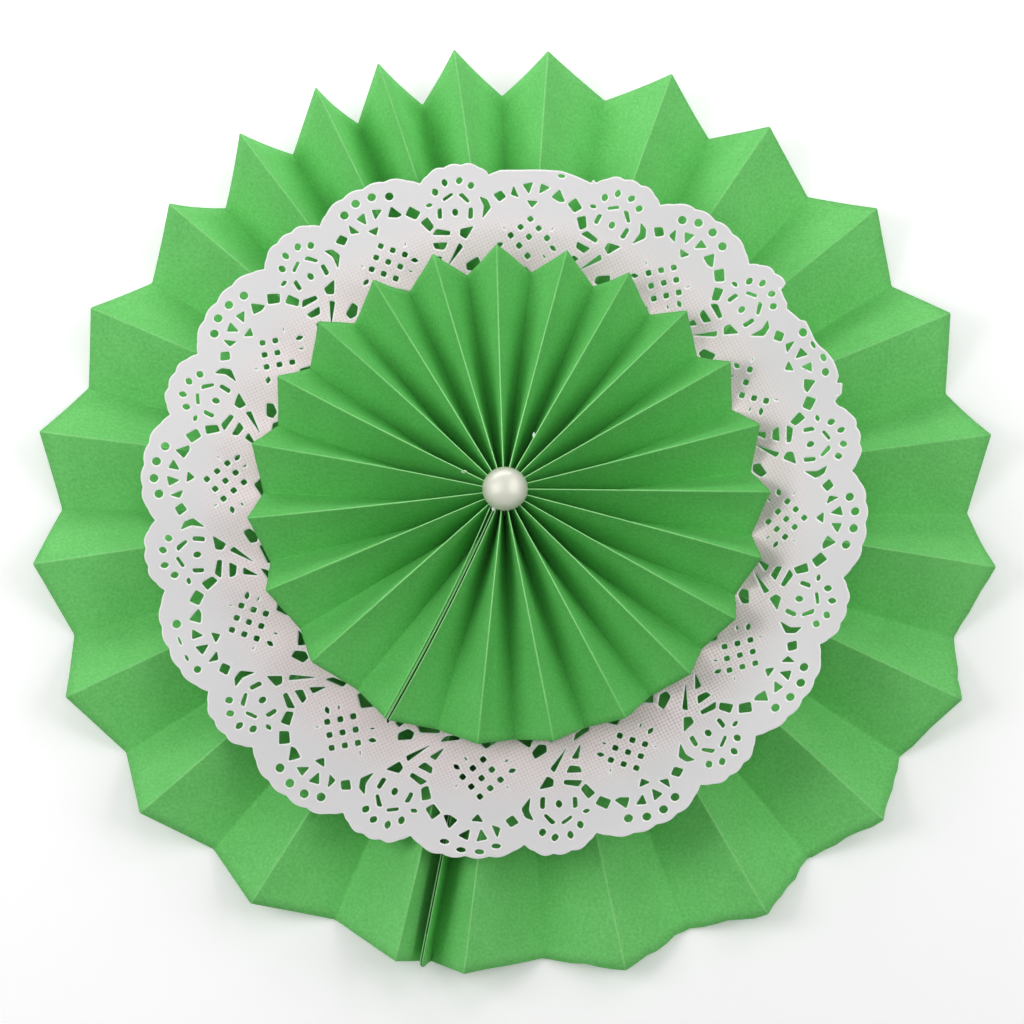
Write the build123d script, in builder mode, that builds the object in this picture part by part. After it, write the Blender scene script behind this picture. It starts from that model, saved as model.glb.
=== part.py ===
# Paper fan rosette: two pleated paper rings with a paper lace between them and a pearl on top.
# It lies on its back. Front is +Z, the top of the picture is +Y, lengths are in mm.

import os
from math import atan2, cos, hypot, radians, sin, sqrt

from build123d import *

os.makedirs("parts", exist_ok=True)

# Paper, card and glue
PAPER = 0.25
BACKING_DIAMETER = 76.0
BACKING_THICKNESS = 0.6
GLUE_CLEARANCE = 0.05
SEAM_GAP = 0.45
SEAM_GLUE_INSET = 0.3
SEAM_GLUE_START = 6.0
SEAM_GLUE_STOP = 12.0

# Large pleated ring: directions in degrees, the mountain folds counted on from the seam
LARGE_DIAMETER = 304.8
LARGE_PANEL_WIDTH = 25.4
LARGE_NOTCH_DEPTH = 8.4
LARGE_HUB_RADIUS = 7.0
LARGE_SEAM = 259.0
LARGE_SEAM_FOOT = 0.9
LARGE_SEAM_TIP = 12.0
LARGE_SEAM_GLUE_DEPTH = 5.0
LARGE_HUB_SHIFT = (0.0, 0.0)
LARGE_RIDGES = (
    264, 283, 300, 318, 335, 352, 368, 384, 400, 417, 430, 446,
    457, 467, 475, 486, 498, 514, 531, 548, 564, 581, 598, 616,
)

# Small pleated ring
SMALL_DIAMETER = 162.0
SMALL_PANEL_WIDTH = 16.6
SMALL_NOTCH_DEPTH = 4.6
SMALL_HUB_RADIUS = 5.0
SMALL_SEAM = 243.0
SMALL_SEAM_FOOT = 10.4
SMALL_SEAM_TIP = 8.0
SMALL_SEAM_GLUE_DEPTH = 1.0
SMALL_HUB_SHIFT = (-1.0, -1.0)
SMALL_RIDGES = (
    263, 280, 296, 313, 329, 344, 359, 375, 391, 406, 422,
    437, 453, 467, 482, 497, 513, 529, 546, 564, 582,
)

# A pleat that is pulled almost flat still rises this much at its tip
FLAT_TIP_HEIGHT = 4.0
# Facets along a panel; they get longer towards the rim, where a panel twists less
PANEL_SPANS = 5
SPAN_GROWTH = 1.5

# Paper lace: insets are measured in from the outer edge, angles from the axis of a fan motif
LACE_DIAMETER = 228.6
LACE_THICKNESS = 0.3
LACE_REPEATS = 12
LACE_TURN = 25.2
CUSP_DEPTH = 5.2
FAN_LOBE = (-1.4, 9.2, 0.0)
ROSE_LOBE = (13.6, 5.8, 0.8)
LOBE_STEPS = (-0.7, -0.35, 0.0, 0.35, 0.7)
LOBE_SQUARENESS = 3

LATTICE_INSET = 26.5
LATTICE_PITCH = 4.1
LATTICE_SQUARE = 1.8

ROUND_RADIUS = 1.45
ROUND_SIDES = 6
CUT_OUT_GROWTH = 1.1
FAN_ROUNDS = ((6.2, -5.0), (4.4, -2.2), (4.3, 0.7), (6.2, 3.3))
ROSE_HEART = (17.1, 14.4)

CUT_OUTS = (
    # Wedges and the triangle inside the row of round holes
    ((9.6, -2.8), (11.6, -1.3), (8.6, -1.4)),
    ((8.5, 0.2), (11.9, 0.7), (9.3, 1.7)),
    ((10.2, 3.4), (13.3, 2.6), (12.6, 3.8)),
    ((14.6, -1.0), (16.7, -0.1), (14.6, 0.8)),
    # Larger holes that frame the fan
    ((10.1, -4.7), (13.3, -5.8), (13.6, -5.0), (12.6, -3.7)),
    ((11.8, -7.8), (14.4, -9.2), (16.2, -8.1), (14.0, -6.7)),
    ((16.9, -10.3), (20.2, -11.0), (21.4, -10.0), (18.0, -8.9)),
    ((11.5, 5.7), (13.4, 4.9), (14.8, 6.0), (12.7, 6.9)),
    ((16.8, 7.8), (19.7, 9.3), (16.2, 8.9), (13.4, 9.5), (14.4, 8.3)),
    # Petals round the heart of the rose
    ((16.4, 11.0), (20.0, 11.3), (19.8, 12.1), (16.5, 11.8)),
    ((11.0, 12.6), (14.1, 11.4), (14.5, 12.0), (11.4, 13.3)),
    ((10.3, 14.4), (11.2, 14.2), (12.8, 16.0), (11.8, 16.3)),
    ((14.7, 16.7), (18.4, 17.0), (18.4, 17.9), (14.7, 17.5)),
    # Small drops outside the petals
    ((7.7, 10.8), (9.0, 10.3), (10.1, 11.0), (8.9, 11.5)),
    ((5.5, 12.6), (6.9, 12.2), (8.0, 13.0), (6.6, 13.4)),
    ((5.3, 15.4), (6.5, 14.8), (7.9, 15.3), (6.7, 15.8)),
    ((7.8, 17.3), (9.0, 16.7), (10.4, 17.2), (9.2, 17.8)),
    # Bars and long darts between the motifs
    ((22.7, 11.3), (26.4, 13.1), (25.0, 14.2), (23.0, 13.9)),
    ((23.0, 16.0), (24.4, 16.2), (22.9, 19.7), (21.2, 18.6)),
    ((26.5, 17.1), (28.4, 18.1), (27.4, 19.8), (25.6, 19.9)),
    ((28.9, 14.2), (33.3, 17.7), (27.7, 14.8)),
    ((30.6, 18.8), (33.9, 21.2), (30.0, 20.1)),
    ((33.3, 11.5), (34.8, 11.1), (36.5, 13.4), (35.7, 14.3)),
)

# Pearl
PEARL_DIAMETER = 14.0
PEARL_HEIGHT = 6.5
PEARL_EDGE = 0.8
PEARL_BANDS = 4

# The upper layers were set down by eye, a little off the middle of the large ring
LACE_CENTRE = (-2.8, -4.5)
SMALL_CENTRE = (-2.0, -4.3)
PEARL_CENTRE = (-3.0, -5.7)

# Heights of the layers, from the back up
LARGE_BASE = BACKING_THICKNESS + PAPER / 2
LACE_BOTTOM = LARGE_BASE + LARGE_PANEL_WIDTH + PAPER / 2
LACE_TOP = LACE_BOTTOM + LACE_THICKNESS
SMALL_BASE = LACE_TOP + PAPER / 2
PEARL_BASE = SMALL_BASE + SMALL_PANEL_WIDTH + PAPER / 2


def polar(radius, angle, height=0.0):
    """The point at this distance and direction from the middle."""
    return Vector(radius * cos(radians(angle)), radius * sin(radians(angle)), height)


def tip_height(radius, width, opening):
    """Height at which a panel of this width reaches the fold that is this many degrees away."""
    return sqrt(max(width**2 - (radius * sin(radians(opening))) ** 2, FLAT_TIP_HEIGHT**2))


def fold_lines(diameter, width, notch, hub, hub_shift, seam, foot, seam_tip, ridges):
    """Fold lines of a strip bent to a ring, each a straight crease from the hub to the rim.

    Even places are mountain folds, which start one panel width up and sink towards the rim,
    and odd places are valley folds, which lie flat. The first and the last are the cut edges,
    and they are trimmed down to a tip height of their own.
    """
    crests = (seam, *ridges, seam + 360)
    valleys = [(a + b) / 2 for a, b in zip(crests, crests[1:])]
    valleys[0] = seam + foot
    valleys[-1] = seam + 360 - foot
    angles = sorted((*crests, *valleys))
    last = len(angles) - 1
    rim = diameter / 2
    lines = []
    for place, angle in enumerate(angles):
        start = polar(hub, seam + 360 * place / last) + Vector(*hub_shift, 0)
        if place % 2:
            lines.append((start, polar(rim - notch, angle)))
            continue
        near = [abs(angle - angles[side]) for side in (place - 1, place + 1) if 0 <= side <= last]
        tip = tip_height(rim, width, sum(near) / len(near))
        if place in (0, last):
            tip = min(tip, seam_tip)
        lines.append((start + Vector(0, 0, width), polar(rim, angle, tip)))
    shift = polar(SEAM_GAP / 2 + PAPER / 2, seam + 90)
    lines[0] = tuple(point + shift for point in lines[0])
    lines[-1] = tuple(point - shift for point in lines[-1])
    return lines


def spread(a, b):
    """Sideways distance between two points, square to the radius and seen from the front."""
    return abs(a.X * b.Y - a.Y * b.X) / ((hypot(a.X, a.Y) + hypot(b.X, b.Y)) / 2)


def paper_skins(row):
    """Points on the front and on the back of the paper, for the fold points of one row.

    Panels keep their thickness however steep they are, so the hollow side of a fold is moved
    further than the sharp side. A cut edge is moved square to its panel.
    """
    pairs = list(zip(row, row[1:]))
    slants = [hypot(spread(a, b), a.Z - b.Z) / spread(a, b) for a, b in pairs]
    sharp = Vector(0, 0, PAPER / 2)
    front = []
    back = []
    for place in range(1, len(row) - 1):
        hollow = Vector(0, 0, PAPER * (slants[place - 1] + slants[place]) / 2) - sharp
        front.append(row[place] + (hollow if place % 2 else sharp))
        back.append(row[place] - (sharp if place % 2 else hollow))
    for end, slant, turn in ((0, slants[0], 1), (len(row) - 1, slants[-1], -1)):
        sideways = Vector(-row[end].Y, row[end].X, 0).normalized() * turn
        square = (sideways * sqrt(slant**2 - 1) + Vector(0, 0, 1)) / slant
        front.insert(end, row[end] + square * (PAPER / 2))
        back.insert(end, row[end] - square * (PAPER / 2))
    return front, back


def pleated_solid(lines):
    """The folded strip as a closed solid of plane triangles."""
    fractions = [(step / PANEL_SPANS) ** SPAN_GROWTH for step in range(PANEL_SPANS + 1)]
    rows = [[a + (b - a) * part for a, b in lines] for part in fractions]
    skins = [paper_skins(row) for row in rows]
    quads = []
    for (front, back), (next_front, next_back) in zip(skins, skins[1:]):
        for k in range(len(lines) - 1):
            quads.append((front[k], next_front[k], next_front[k + 1], front[k + 1]))
            quads.append((back[k], back[k + 1], next_back[k + 1], next_back[k]))
        quads.append((back[0], next_back[0], next_front[0], front[0]))
        quads.append((front[-1], next_front[-1], next_back[-1], back[-1]))
    (hub_front, hub_back), (rim_front, rim_back) = skins[0], skins[-1]
    for k in range(len(lines) - 1):
        quads.append((hub_back[k], hub_front[k], hub_front[k + 1], hub_back[k + 1]))
        quads.append((rim_front[k], rim_back[k], rim_back[k + 1], rim_front[k + 1]))
    triangles = [corners for a, b, c, d in quads for corners in ((a, b, c), (a, c, d))]
    faces = []
    for a, b, c in triangles:
        face = Face(Wire.make_polygon((a, b, c)))
        # The shell takes its outside from its first face, so one that looks outwards leads
        outwards = face.normal_at().dot((b - a).cross(c - a)) > 0
        faces.insert(0 if outwards else len(faces), face)
    return Solid(Shell(faces))


def seam_middle(lines):
    """Hub end and rim end of the line midway between the two cut edges."""
    return tuple((first + last) * 0.5 for first, last in zip(lines[0], lines[-1]))


def seam_plane(lines, centre, base):
    """Upright plane through the seam, with its first axis pointing outwards from the hub end."""
    start, end = seam_middle(lines)
    run = Vector(end.X - start.X, end.Y - start.Y, 0)
    origin = Vector(*centre, base) + Vector(start.X, start.Y, 0)
    return Plane(origin=origin, x_dir=run, z_dir=run.rotate(Axis.Z, -90))


def seam_profile(lines, depth):
    """Corners of the glue line in the plane of the seam: distance out and height."""
    start, end = seam_middle(lines)
    length = hypot(end.X - start.X, end.Y - start.Y)
    corners = []
    near, far = SEAM_GLUE_START, length - SEAM_GLUE_STOP
    for distance, drop in ((near, 0), (far, 0), (far, depth), (near, depth)):
        top = start.Z + (end.Z - start.Z) * distance / length
        corners.append((distance, top - SEAM_GLUE_INSET - drop))
    return corners


def lobe(centre, half, inset):
    """Outline points of one scallop and of the cusp before it."""
    radius = LACE_DIAMETER / 2
    points = [polar(radius - CUSP_DEPTH, centre - half)]
    for step in LOBE_STEPS:
        dip = (CUSP_DEPTH - inset) * abs(step) ** LOBE_SQUARENESS
        points.append(polar(radius - inset - dip, centre + step * half))
    return points


def lace_polygon(corners):
    """Plane corners from distances in from the edge and angles, spread about their middle."""
    points = [polar(LACE_DIAMETER / 2 - inset, angle) for inset, angle in corners]
    middle = sum(points, Vector()) * (1 / len(points))
    spread_out = [middle + (point - middle) * CUT_OUT_GROWTH for point in points]
    return [(point.X, point.Y) for point in spread_out]


# Card disc on the back
with BuildPart() as backing_disc:
    Cylinder(BACKING_DIAMETER / 2, BACKING_THICKNESS, align=(Align.CENTER, Align.CENTER, Align.MIN))

# Large pleated ring
large_folds = fold_lines(
    LARGE_DIAMETER,
    LARGE_PANEL_WIDTH,
    LARGE_NOTCH_DEPTH,
    LARGE_HUB_RADIUS,
    LARGE_HUB_SHIFT,
    LARGE_SEAM,
    LARGE_SEAM_FOOT,
    LARGE_SEAM_TIP,
    LARGE_RIDGES,
)
with BuildPart() as large_rosette:
    add(Pos(0, 0, LARGE_BASE) * pleated_solid(large_folds))

with BuildPart() as large_seam_glue:
    with BuildSketch(seam_plane(large_folds, (0, 0), LARGE_BASE)):
        Polygon(*seam_profile(large_folds, LARGE_SEAM_GLUE_DEPTH), align=None)
    extrude(amount=SEAM_GAP / 2 - GLUE_CLEARANCE, both=True)

with BuildPart() as large_hub_glue:
    with BuildSketch(Plane.XY.offset(BACKING_THICKNESS)):
        Circle(LARGE_HUB_RADIUS - GLUE_CLEARANCE)
    extrude(amount=LACE_BOTTOM - BACKING_THICKNESS)

# Paper lace
lace_plane = Plane(origin=(*LACE_CENTRE, LACE_BOTTOM), x_dir=polar(1, LACE_TURN), z_dir=(0, 0, 1))
with BuildPart() as lace_doily:
    with BuildSketch(lace_plane):
        with BuildLine():
            rim = []
            for repeat in range(LACE_REPEATS):
                turn = 360 * repeat / LACE_REPEATS
                rim += [point.rotate(Axis.Z, turn) for point in lobe(*FAN_LOBE) + lobe(*ROSE_LOBE)]
            Polyline(*rim, close=True)
        make_face()
        with PolarLocations(0, LACE_REPEATS):
            for corners in CUT_OUTS:
                Polygon(*lace_polygon(corners), align=None, mode=Mode.SUBTRACT)
            for spot in (*FAN_ROUNDS, ROSE_HEART):
                with Locations(*lace_polygon([spot])):
                    RegularPolygon(ROUND_RADIUS, ROUND_SIDES, mode=Mode.SUBTRACT)
            with Locations(Location((LACE_DIAMETER / 2 - LATTICE_INSET, 0), 45)):
                with GridLocations(LATTICE_PITCH, LATTICE_PITCH, 3, 3):
                    Rectangle(LATTICE_SQUARE, LATTICE_SQUARE, mode=Mode.SUBTRACT)
    extrude(amount=LACE_THICKNESS)

# Small pleated ring
small_folds = fold_lines(
    SMALL_DIAMETER,
    SMALL_PANEL_WIDTH,
    SMALL_NOTCH_DEPTH,
    SMALL_HUB_RADIUS,
    SMALL_HUB_SHIFT,
    SMALL_SEAM,
    SMALL_SEAM_FOOT,
    SMALL_SEAM_TIP,
    SMALL_RIDGES,
)
with BuildPart() as small_rosette:
    add(Pos(*SMALL_CENTRE, SMALL_BASE) * pleated_solid(small_folds))

with BuildPart() as small_seam_glue:
    with BuildSketch(seam_plane(small_folds, SMALL_CENTRE, SMALL_BASE)):
        Polygon(*seam_profile(small_folds, SMALL_SEAM_GLUE_DEPTH), align=None)
    extrude(amount=SEAM_GAP / 2 - GLUE_CLEARANCE, both=True)

with BuildPart() as small_hub_glue:
    with BuildSketch(Plane.XY.offset(LACE_TOP)):
        with Locations(Vector(*SMALL_CENTRE) + Vector(*SMALL_HUB_SHIFT)):
            Circle(SMALL_HUB_RADIUS - GLUE_CLEARANCE)
    extrude(amount=PEARL_BASE - LACE_TOP)

# Half-round pearl, its dome in bands that lean a little more each
pearl_plane = Plane(origin=(*PEARL_CENTRE, PEARL_BASE), x_dir=(1, 0, 0), z_dir=(0, -1, 0))
edge = PEARL_DIAMETER / 2
rise = PEARL_HEIGHT - PEARL_EDGE
dome_radius = (edge**2 + rise**2) / (2 * rise)
dome = []
for band in range(PEARL_BANDS + 1):
    angle = 2 * atan2(rise, edge) * band / PEARL_BANDS
    height = PEARL_HEIGHT - dome_radius * (1 - cos(angle))
    dome.append((dome_radius * sin(angle), height))
with BuildPart() as pearl_cabochon:
    with BuildSketch(pearl_plane):
        with BuildLine():
            Polyline(*dome, (edge, 0), (0, 0), close=True)
        make_face()
    revolve(axis=Axis(pearl_plane.origin, (0, 0, 1)))

backing_disc.part.label = "backing_disc"
large_rosette.part.label = "large_rosette"
large_seam_glue.part.label = "large_seam_glue"
large_hub_glue.part.label = "large_hub_glue"
lace_doily.part.label = "lace_doily"
small_rosette.part.label = "small_rosette"
small_seam_glue.part.label = "small_seam_glue"
small_hub_glue.part.label = "small_hub_glue"
pearl_cabochon.part.label = "pearl_cabochon"

export_step(backing_disc.part, "parts/backing_disc.step")
export_step(large_rosette.part, "parts/large_rosette.step")
export_step(large_seam_glue.part, "parts/large_seam_glue.step")
export_step(large_hub_glue.part, "parts/large_hub_glue.step")
export_step(lace_doily.part, "parts/lace_doily.step")
export_step(small_rosette.part, "parts/small_rosette.step")
export_step(small_seam_glue.part, "parts/small_seam_glue.step")
export_step(small_hub_glue.part, "parts/small_hub_glue.step")
export_step(pearl_cabochon.part, "parts/pearl_cabochon.step")
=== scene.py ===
# %% [markdown]
# # A paper fan rosette
# The real one is two strips of green paper, folded back and forth, bent to rings and glued in the
# middle. A lace paper doily lies between the rings, and a half pearl covers the middle. The looks
# depend on three things: crisp folds with soft valleys, true holes in the lace, and light that
# falls off from the upper edge. Every length below is in mm and is turned to metres in one place.

import bpy
import numpy as np
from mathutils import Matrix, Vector
from mathutils.geometry import delaunay_2d_cdt


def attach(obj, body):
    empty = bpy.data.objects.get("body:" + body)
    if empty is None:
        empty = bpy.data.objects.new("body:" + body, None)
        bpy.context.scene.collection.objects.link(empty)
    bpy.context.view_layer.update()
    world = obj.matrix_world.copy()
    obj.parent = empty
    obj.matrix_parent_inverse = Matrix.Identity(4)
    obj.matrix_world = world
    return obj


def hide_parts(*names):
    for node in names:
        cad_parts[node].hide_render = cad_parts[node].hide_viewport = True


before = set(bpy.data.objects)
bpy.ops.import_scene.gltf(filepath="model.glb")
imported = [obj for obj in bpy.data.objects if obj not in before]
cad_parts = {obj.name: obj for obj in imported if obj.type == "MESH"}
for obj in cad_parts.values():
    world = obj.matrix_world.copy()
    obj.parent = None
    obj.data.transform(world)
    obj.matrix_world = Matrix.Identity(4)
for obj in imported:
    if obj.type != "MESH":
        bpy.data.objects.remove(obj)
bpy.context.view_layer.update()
MM = 0.001
print("solids:", sorted(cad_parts))

# %% [markdown]
# ## Helpers for meshes
# Every new piece is worked out as an array of points and goes into its mesh in one call, which is
# quicker and easier to check than building it face by face. Numbers that a material needs, such
# as the distance from a fold, are kept with the points.


# %% A mesh from arrays
def make_mesh(name, points_mm, faces, materials, slots=None, smooth=None):
    """An object from points in mm and faces of any size, one material slot number per face."""
    mesh = bpy.data.meshes.new(name)
    mesh.from_pydata((np.asarray(points_mm) * MM).tolist(), [], faces)
    for material in materials:
        mesh.materials.append(material)
    if slots is not None:
        mesh.polygons.foreach_set("material_index", np.asarray(slots, np.int32))
    shade = np.ones(len(faces), bool) if smooth is None else np.asarray(smooth, bool)
    mesh.polygons.foreach_set("use_smooth", shade)
    mesh.validate()
    mesh.update()
    piece = bpy.data.objects.new(name, mesh)
    bpy.context.scene.collection.objects.link(piece)
    print(name, len(points_mm), "points", len(faces), "faces")
    return piece


def add_value(piece, name, values):
    """A number for every point, for a material to read."""
    attribute = piece.data.attributes.new(name, "FLOAT", "POINT")
    attribute.data.foreach_set("value", np.asarray(values, np.float32).ravel())


print("helpers ready:", make_mesh.__name__, add_value.__name__)

# %% [markdown]
# ## Directions and turns
# Everything on a rosette is placed by how far out it lies and in which direction, so places are
# worked out from a radius and degrees, for whole arrays at once.


# %% Points from directions
def polar(radius, degrees, height=0.0):
    """Points from a distance, a direction and a height, as an array that ends in x, y, z."""
    angle = np.radians(degrees)
    parts = np.broadcast_arrays(radius * np.cos(angle), radius * np.sin(angle), height)
    return np.stack(parts, axis=-1)


def turned(points, degrees):
    """Points of the plane, turned to the left round the origin."""
    turn = np.radians(degrees)
    spin = np.array([[np.cos(turn), np.sin(turn)], [-np.sin(turn), np.cos(turn)]])
    return points @ spin


def unit(vectors):
    """The same directions with length one."""
    return vectors / np.linalg.norm(vectors, axis=-1, keepdims=True)


print("10 mm towards the upper edge:", polar(10.0, 90.0).round(3))

# %% [markdown]
# ## Faces of a sheet
# A grid of points becomes a sheet of quads. Paper has two faces and a cut edge all round, so a
# sheet is laid down twice, half a thickness in front and half a thickness behind, and the border
# is closed. The cut edge gets its own material slot, because cut paper looks paler there.


# %% Quads on a grid
def sheet_faces(rows, columns):
    """Quads of a two-sided sheet on a grid, and which of them close its border.

    The front points are numbered row by row, and the back points follow in the same order.
    """
    number = np.arange(rows * columns).reshape(rows, columns)
    behind = number + rows * columns
    corners = [number[:-1, :-1], number[1:, :-1], number[1:, 1:], number[:-1, 1:]]
    front = np.stack([c.ravel() for c in corners], axis=1)
    back = front[:, ::-1] + rows * columns
    strips = []
    for near, far in ((number[0], behind[0]), (number[:, -1], behind[:, -1])):
        strips.append(np.stack([far[:-1], near[:-1], near[1:], far[1:]], axis=1))
    for near, far in ((number[-1], behind[-1]), (number[:, 0], behind[:, 0])):
        strips.append(np.stack([near[:-1], far[:-1], far[1:], near[1:]], axis=1))
    border = np.concatenate(strips)
    faces = np.concatenate([front, back, border])
    return faces.tolist(), np.arange(len(faces)) >= len(front) * 2


print("faces of a sheet of 3 by 3 points:", len(sheet_faces(3, 3)[0]))

# %% [markdown]
# ## Helpers for materials
# Colours are written as they look on a screen and are turned to linear light by one function.
# One small function adds a node, sets its values and joins its inputs.


# %% Colours and nodes
def linear(hex_colour):
    """Screen colour as six hex digits to linear red, green, blue and alpha."""
    parts = [int(hex_colour[i : i + 2], 16) / 255 for i in (0, 2, 4)]
    return [p / 12.92 if p <= 0.04045 else ((p + 0.055) / 1.055) ** 2.4 for p in parts] + [1.0]


def add_node(tree, kind, settings=None, values=None, links=None):
    """One node with its settings, the values of its sockets and the sockets that feed it."""
    made = tree.nodes.new(kind)
    for key, value in (settings or {}).items():
        setattr(made, key, value)
    for key, value in (values or {}).items():
        made.inputs[key].default_value = value
    for key, source in (links or {}).items():
        tree.links.new(source, made.inputs[key])
    return made


def new_material(name, colour, values):
    """A material with one Principled shader; returns the material, its tree and the shader."""
    material = bpy.data.materials.new(name)
    material.use_nodes = True
    shader = material.node_tree.nodes["Principled BSDF"]
    shader.inputs["Base Color"].default_value = linear(colour)
    for key, value in values.items():
        shader.inputs[key].default_value = value
    return material, material.node_tree, shader


print("middle grey in linear light:", round(linear("808080")[0], 3))

# %% [markdown]
# ## Shades over a ground
# Paper is never one flat colour. Its finish starts from a ground shade, and further shades are
# laid over it, each as far as an amount says, because a single chain is easy to follow and to
# extend. A solid that is shown as it was loaded only has its material exchanged.


# %% Finishes
def lay_shades(tree, shader, ground, layers):
    """Base colour of a shader: shades laid over a ground colour, each by an amount up to one."""
    under = {}
    for amount, shade in layers:
        mix = add_node(
            tree,
            "ShaderNodeMix",
            {"data_type": "RGBA"},
            {6: linear(ground), 7: linear(shade)},
            {0: amount, **under},
        )
        under = {6: mix.outputs[2]}
    tree.links.new(mix.outputs[2], shader.inputs["Base Color"])


def finish_solid(node, material):
    """A loaded solid gets one material all over."""
    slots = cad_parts[node].data.materials
    slots.clear()
    slots.append(material)


print("helpers ready:", lay_shades.__name__, finish_solid.__name__)

# %% [markdown]
# ## Green craft paper
# The real sheets are uncoated, dyed right through and about a quarter of a millimetre thick. Such
# paper is matt, with a fine felt grain from the wire it was made on. The grain is drawn at nearly
# a millimetre, coarser than it is, so that it shows from this far. A thin light line is drawn along
# every mountain fold. It is partly broken fibres, where the paper is folded outwards and the dye
# looks paler, and partly painted highlight. Along the valleys a deeper green is painted as shade.
# Three shades are laid over the darkest one, each by an amount of its own.

# %% Folded green paper
GRAIN_MM = 0.9
CLOUD_MM = 14.0
CLOUD_SHARE = 0.35
CREST_MM = (0.12, 0.45)
VALLEY_MM = (0.1, 0.9)
# How far the valley line is painted deeper, as painted shade.
VALLEY_SHADE_SHARE = 0.15


def folded_paper(name, darker, lighter, crest_highlight_and_wear, painted_light_mark):
    """Matt dyed paper in two grain shades; pale crests of wear and painted highlight; painted
    valley shade.
    """
    material, tree, shader = new_material(
        name, lighter, {"Roughness": 0.85, "IOR": 1.45, "Specular IOR Level": 0.15}
    )
    place = add_node(tree, "ShaderNodeTexCoord").outputs["Object"]
    grain, cloud = [
        add_node(
            tree,
            "ShaderNodeTexNoise",
            values={"Scale": 1 / (size * MM), "Detail": detail, "Roughness": 0.6},
            links={"Vector": place},
        ).outputs["Fac"]
        for size, detail in ((GRAIN_MM, 4.0), (CLOUD_MM, 2.0))
    ]
    both = add_node(
        tree,
        "ShaderNodeMath",
        {"operation": "MULTIPLY_ADD"},
        {1: CLOUD_SHARE},
        {0: cloud, 2: grain},
    ).outputs[0]
    tone = add_node(
        tree, "ShaderNodeMapRange", {}, {"From Min": 0.5, "From Max": 0.85}, {"Value": both}
    ).outputs[0]
    # Distances from the folds, and how pale the crest line is: partly wear, partly painted
    # highlight.
    trough_mm, crest_mm, wear_and_highlight = [
        add_node(tree, "ShaderNodeAttribute", {"attribute_name": key}).outputs["Fac"]
        for key in ("trough_mm", "crest_mm", "wear_and_highlight")
    ]
    # Amounts of the valley line, painted deeper as shade, and of the pale crest line.
    in_trough, on_crest = [
        add_node(
            tree,
            "ShaderNodeMapRange",
            {"interpolation_type": "SMOOTHSTEP"},
            {"From Min": near, "From Max": far, "To Min": most, "To Max": 0.0},
            {"Value": distance},
        ).outputs[0]
        for distance, (near, far), most in (
            (trough_mm, VALLEY_MM, VALLEY_SHADE_SHARE), (crest_mm, CREST_MM, 1.0)
        )
    ]
    # The pale line along the mountain folds: partly broken fibres, partly painted highlight.
    fibres = add_node(
        tree, "ShaderNodeMath", {"operation": "MULTIPLY"}, links={0: on_crest, 1: wear_and_highlight}
    ).outputs[0]
    lay_shades(tree, shader, darker, ((tone, lighter), (in_trough, painted_light_mark), (fibres, crest_highlight_and_wear)))
    bump = add_node(
        tree,
        "ShaderNodeBump",
        values={"Strength": 0.5, "Distance": 0.07 * MM},
        links={"Height": grain},
    )
    tree.links.new(bump.outputs["Normal"], shader.inputs["Normal"])
    return material


# Ground, lighter grain, crest line of wear and painted highlight, valley line of painted shade.
large_green = folded_paper("dyed_paper_large_sheet", "70CC6D", "81DD7D", "B6F0AC", "55AE56")
# The small ring's greens are a shade darker than the large ring's, as painted shade.
small_green_painted_darker = folded_paper("dyed_paper_small_sheet_painted_darker", "60BC5D", "6ECB6B", "B6FFAB", "46A248")
cut_green, _, _ = new_material(
    "dyed_paper_cut_edge", "9CDD94", {"Roughness": 0.9, "Specular IOR Level": 0.2}
)
print("paper materials:", large_green.name, small_green_painted_darker.name, cut_green.name)

# %% [markdown]
# ## The pleated rings
# A strip is creased every panel width, alternately up and down, and its two ends are glued
# together. In the middle the panels stand upright side by side, so every mountain fold starts one
# panel width above the valleys. Towards the rim the panels lean over as far as the room between
# the folds lets them: a wide pleat lies low and a crowded one stands high. A straight line from
# the hub to the rim for each fold gives all of that. The real folds aren't perfect corners. The
# mountain folds are sharp, while the valley folds open to a soft curve towards the rim, and each
# panel bows a little, so the sheet is worked out as a smooth curve across the folds.

# %% Where the folds run
PAPER = 0.25
SEAM_GAP = 0.45
FLAT_TIP_HEIGHT = 4.0


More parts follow.
